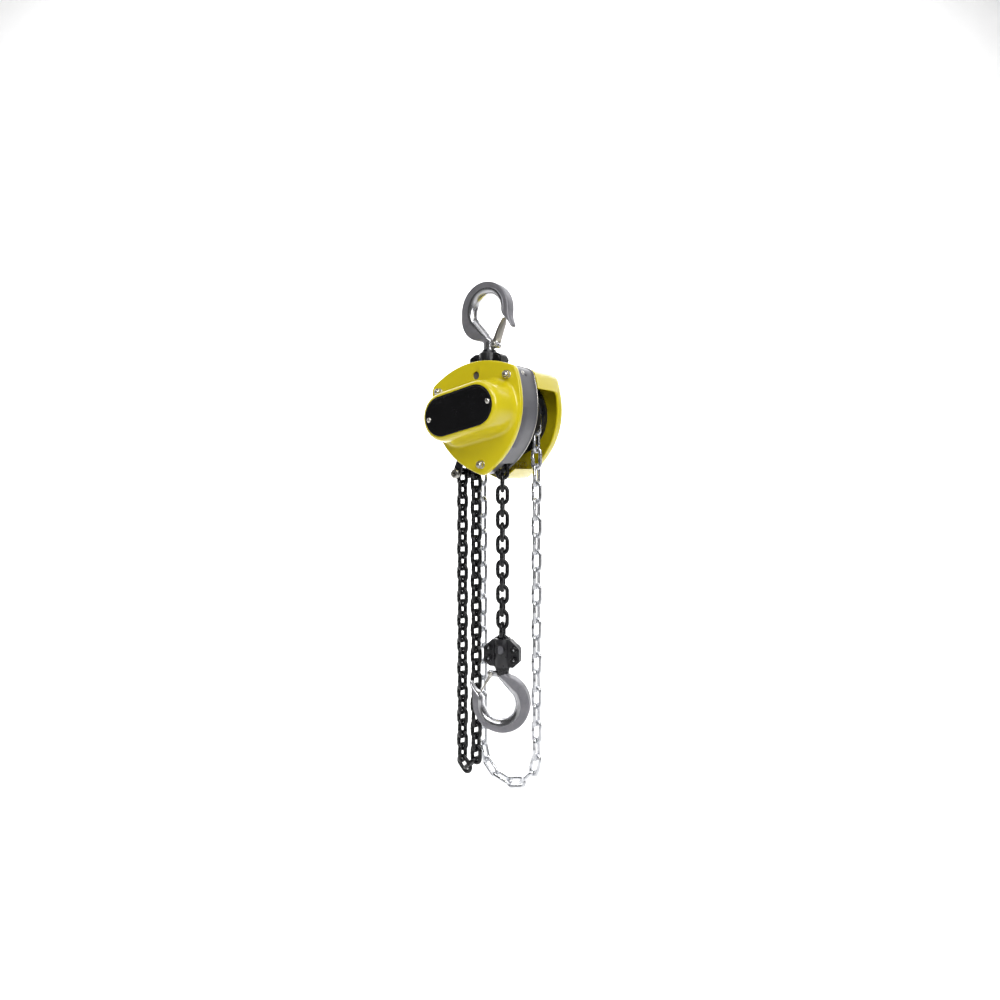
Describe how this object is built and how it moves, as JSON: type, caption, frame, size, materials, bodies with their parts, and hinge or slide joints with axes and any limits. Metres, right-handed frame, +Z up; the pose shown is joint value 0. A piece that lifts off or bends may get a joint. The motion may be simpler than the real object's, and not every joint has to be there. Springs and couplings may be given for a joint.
{
  "type": "hand chain hoist",
  "caption": "Hand chain hoist with a swivel top hook, yellow gear and wheel covers, geared load sheave with screw brake, load chain and swivel bottom hook with latch.",
  "frame": {"origin": "centre of the top hook bowl, where the hoist hangs", "axes": "+Z up along the hanging line, gear cover faces -Y, load chain on +X"},
  "size_m": [0.1343, 0.1418, 0.6341],
  "materials": {
    "yellow_paint": "gloss lemon-yellow paint on pressed steel",
    "grey_paint": "satin grey paint on steel plate",
    "black_paint": "satin black paint",
    "black_chain": "blackened hardened chain, worn at the contacts",
    "zinc_chain": "bright zinc plated chain",
    "forged_zinc": "satin zinc plated forging",
    "zinc_fastener": "zinc plated fastener",
    "latch_steel": "pressed spring steel",
    "plate_black": "gloss black bare rating plate",
    "machined_steel": "machined and oiled steel",
    "bronze": "sintered bronze",
    "friction": "moulded brake lining"
  },
  "bodies": {
    "top_hook": {"top_hook": "forged_zinc", "top_latch_pin": "zinc_fastener", "top_latch_spring": "machined_steel"},
    "top_latch": {"top_latch": "latch_steel"},
    "top_yoke": {"top_yoke_front": "black_paint", "top_yoke_rear": "black_paint", "top_yoke_bolts": "black_chain"},
    "frame": {"gear_cover": "yellow_paint", "rating_plate": "plate_black", "rating_plate_screws": "zinc_fastener", "gear_side_plate": "grey_paint", "body_shell": "grey_paint", "stay_bolts": "zinc_fastener", "cover_nuts": "zinc_fastener", "cover_washers": "zinc_fastener", "rear_cover": "yellow_paint", "rear_cover_nuts": "zinc_fastener", "top_pin": "black_chain", "chain_guide": "black_paint", "chain_stripper": "machined_steel", "tail_pin": "zinc_fastener", "tail_pin_nut": "zinc_fastener", "sheave_bush_front": "bronze", "sheave_bush_rear": "bronze", "gear_front_bushes": "bronze", "gear_rear_bushes": "bronze", "ratchet_cover": "grey_paint", "pawl_pins": "zinc_fastener", "pawl_springs": "machined_steel", "load_chain_slack": "black_chain", "load_chain_wrap": "black_chain", "hand_chain": "zinc_chain", "hand_chain_wrap": "zinc_chain"},
    "sheave": {"load_sheave": "machined_steel", "load_gear": "machined_steel", "load_gear_circlip": "machined_steel"},
    "hand_drive": {"drive_shaft": "machined_steel", "brake_hub": "machined_steel", "friction_disc_inner": "friction", "friction_disc_outer": "friction", "hand_wheel": "black_paint", "wheel_nut": "zinc_fastener", "wheel_split_pin": "zinc_fastener"},
    "slice_a": {"slice_gear_a": "machined_steel"},
    "slice_b": {"slice_gear_b": "machined_steel"},
    "ratchet": {"ratchet_wheel": "machined_steel"},
    "pawl_a": {"pawl_a": "machined_steel"},
    "pawl_b": {"pawl_b": "machined_steel"},
    "load_block": {"load_chain_drop": "black_chain", "bottom_yoke_front": "black_paint", "bottom_yoke_rear": "black_paint", "bottom_yoke_bolts": "black_chain", "bottom_yoke_nuts": "machined_steel", "chain_pin": "black_chain"},
    "bottom_hook": {"bottom_hook": "forged_zinc", "bottom_latch_pin": "zinc_fastener", "bottom_latch_spring": "machined_steel"},
    "bottom_latch": {"bottom_latch": "latch_steel"}
  },
  "joints": [
    {"name": "top_swivel", "type": "hinge", "parent": "top_hook", "child": "top_yoke", "pos_m": [0, 0, -0.06], "axis": [0, 0, 1], "continuous": true},
    {"name": "frame_tilt", "type": "hinge", "parent": "top_yoke", "child": "frame", "pos_m": [0, 0, -0.0824], "axis": [0, 1, 0], "range_deg": [-8, 8]},
    {"name": "top_latch_swing", "type": "hinge", "parent": "top_hook", "child": "top_latch", "pos_m": [0.0108, 0, -0.043], "axis": [0, -1, 0], "range_deg": [0, 24], "stiffness_Nm_per_rad": 0.02, "springref_deg": -22.92},
    {"name": "hand_wheel_spin", "type": "hinge", "parent": "frame", "child": "hand_drive", "pos_m": [0, 0.044, -0.127], "axis": [0, 1, 0], "range_deg": [0, 1620], "deforming": ["hand_chain_wrap", "load_chain_wrap"]},
    {"name": "slice_a_spin", "type": "hinge", "parent": "frame", "child": "slice_a", "pos_m": [0.02641, -0.04, -0.12139], "axis": [0, 1, 0], "range_deg": [-540, 0]},
    {"name": "slice_b_spin", "type": "hinge", "parent": "frame", "child": "slice_b", "pos_m": [-0.02641, -0.04, -0.13261], "axis": [0, 1, 0], "range_deg": [-540, 0]},
    {"name": "sheave_spin", "type": "hinge", "parent": "frame", "child": "sheave", "pos_m": [0, 0, -0.127], "axis": [0, 1, 0], "range_deg": [0, 180]},
    {"name": "hook_lift", "type": "slide", "parent": "frame", "child": "load_block", "axis": [0, 0, 1], "range_m": [-0.06, 0]},
    {"name": "ratchet_play", "type": "hinge", "parent": "frame", "child": "ratchet", "pos_m": [0, 0.0278, -0.127], "axis": [0, 1, 0], "range_deg": [-4, 0]},
    {"name": "pawl_a_lift", "type": "hinge", "parent": "frame", "child": "pawl_a", "pos_m": [0.0149, 0.0278, -0.09644], "axis": [0, 1, 0], "range_deg": [0, 14], "stiffness_Nm_per_rad": 0.02, "springref_deg": -22.92},
    {"name": "pawl_b_lift", "type": "hinge", "parent": "frame", "child": "pawl_b", "pos_m": [-0.0149, 0.0278, -0.15756], "axis": [0, 1, 0], "range_deg": [0, 14], "stiffness_Nm_per_rad": 0.02, "springref_deg": -22.92},
    {"name": "bottom_swivel", "type": "hinge", "parent": "load_block", "child": "bottom_hook", "pos_m": [0.0196, 0, -0.427], "axis": [0, 0, 1], "continuous": true, "deforming": ["load_chain_slack"]},
    {"name": "bottom_latch_swing", "type": "hinge", "parent": "bottom_hook", "child": "bottom_latch", "pos_m": [0.00635, -0.0059, -0.4405], "axis": [0.4067, -0.9135, 0], "range_deg": [0, 24], "stiffness_Nm_per_rad": 0.02, "springref_deg": -22.92}
  ],
  "couplings": [
    {"joint": "slice_a_spin", "follows": "hand_wheel_spin", "ratio": -0.33333},
    {"joint": "slice_b_spin", "follows": "hand_wheel_spin", "ratio": -0.33333},
    {"joint": "sheave_spin", "follows": "hand_wheel_spin", "ratio": 0.11111},
    {"joint": "hook_lift", "follows": "hand_wheel_spin", "m_per_rad": -0.002122}
  ]
}
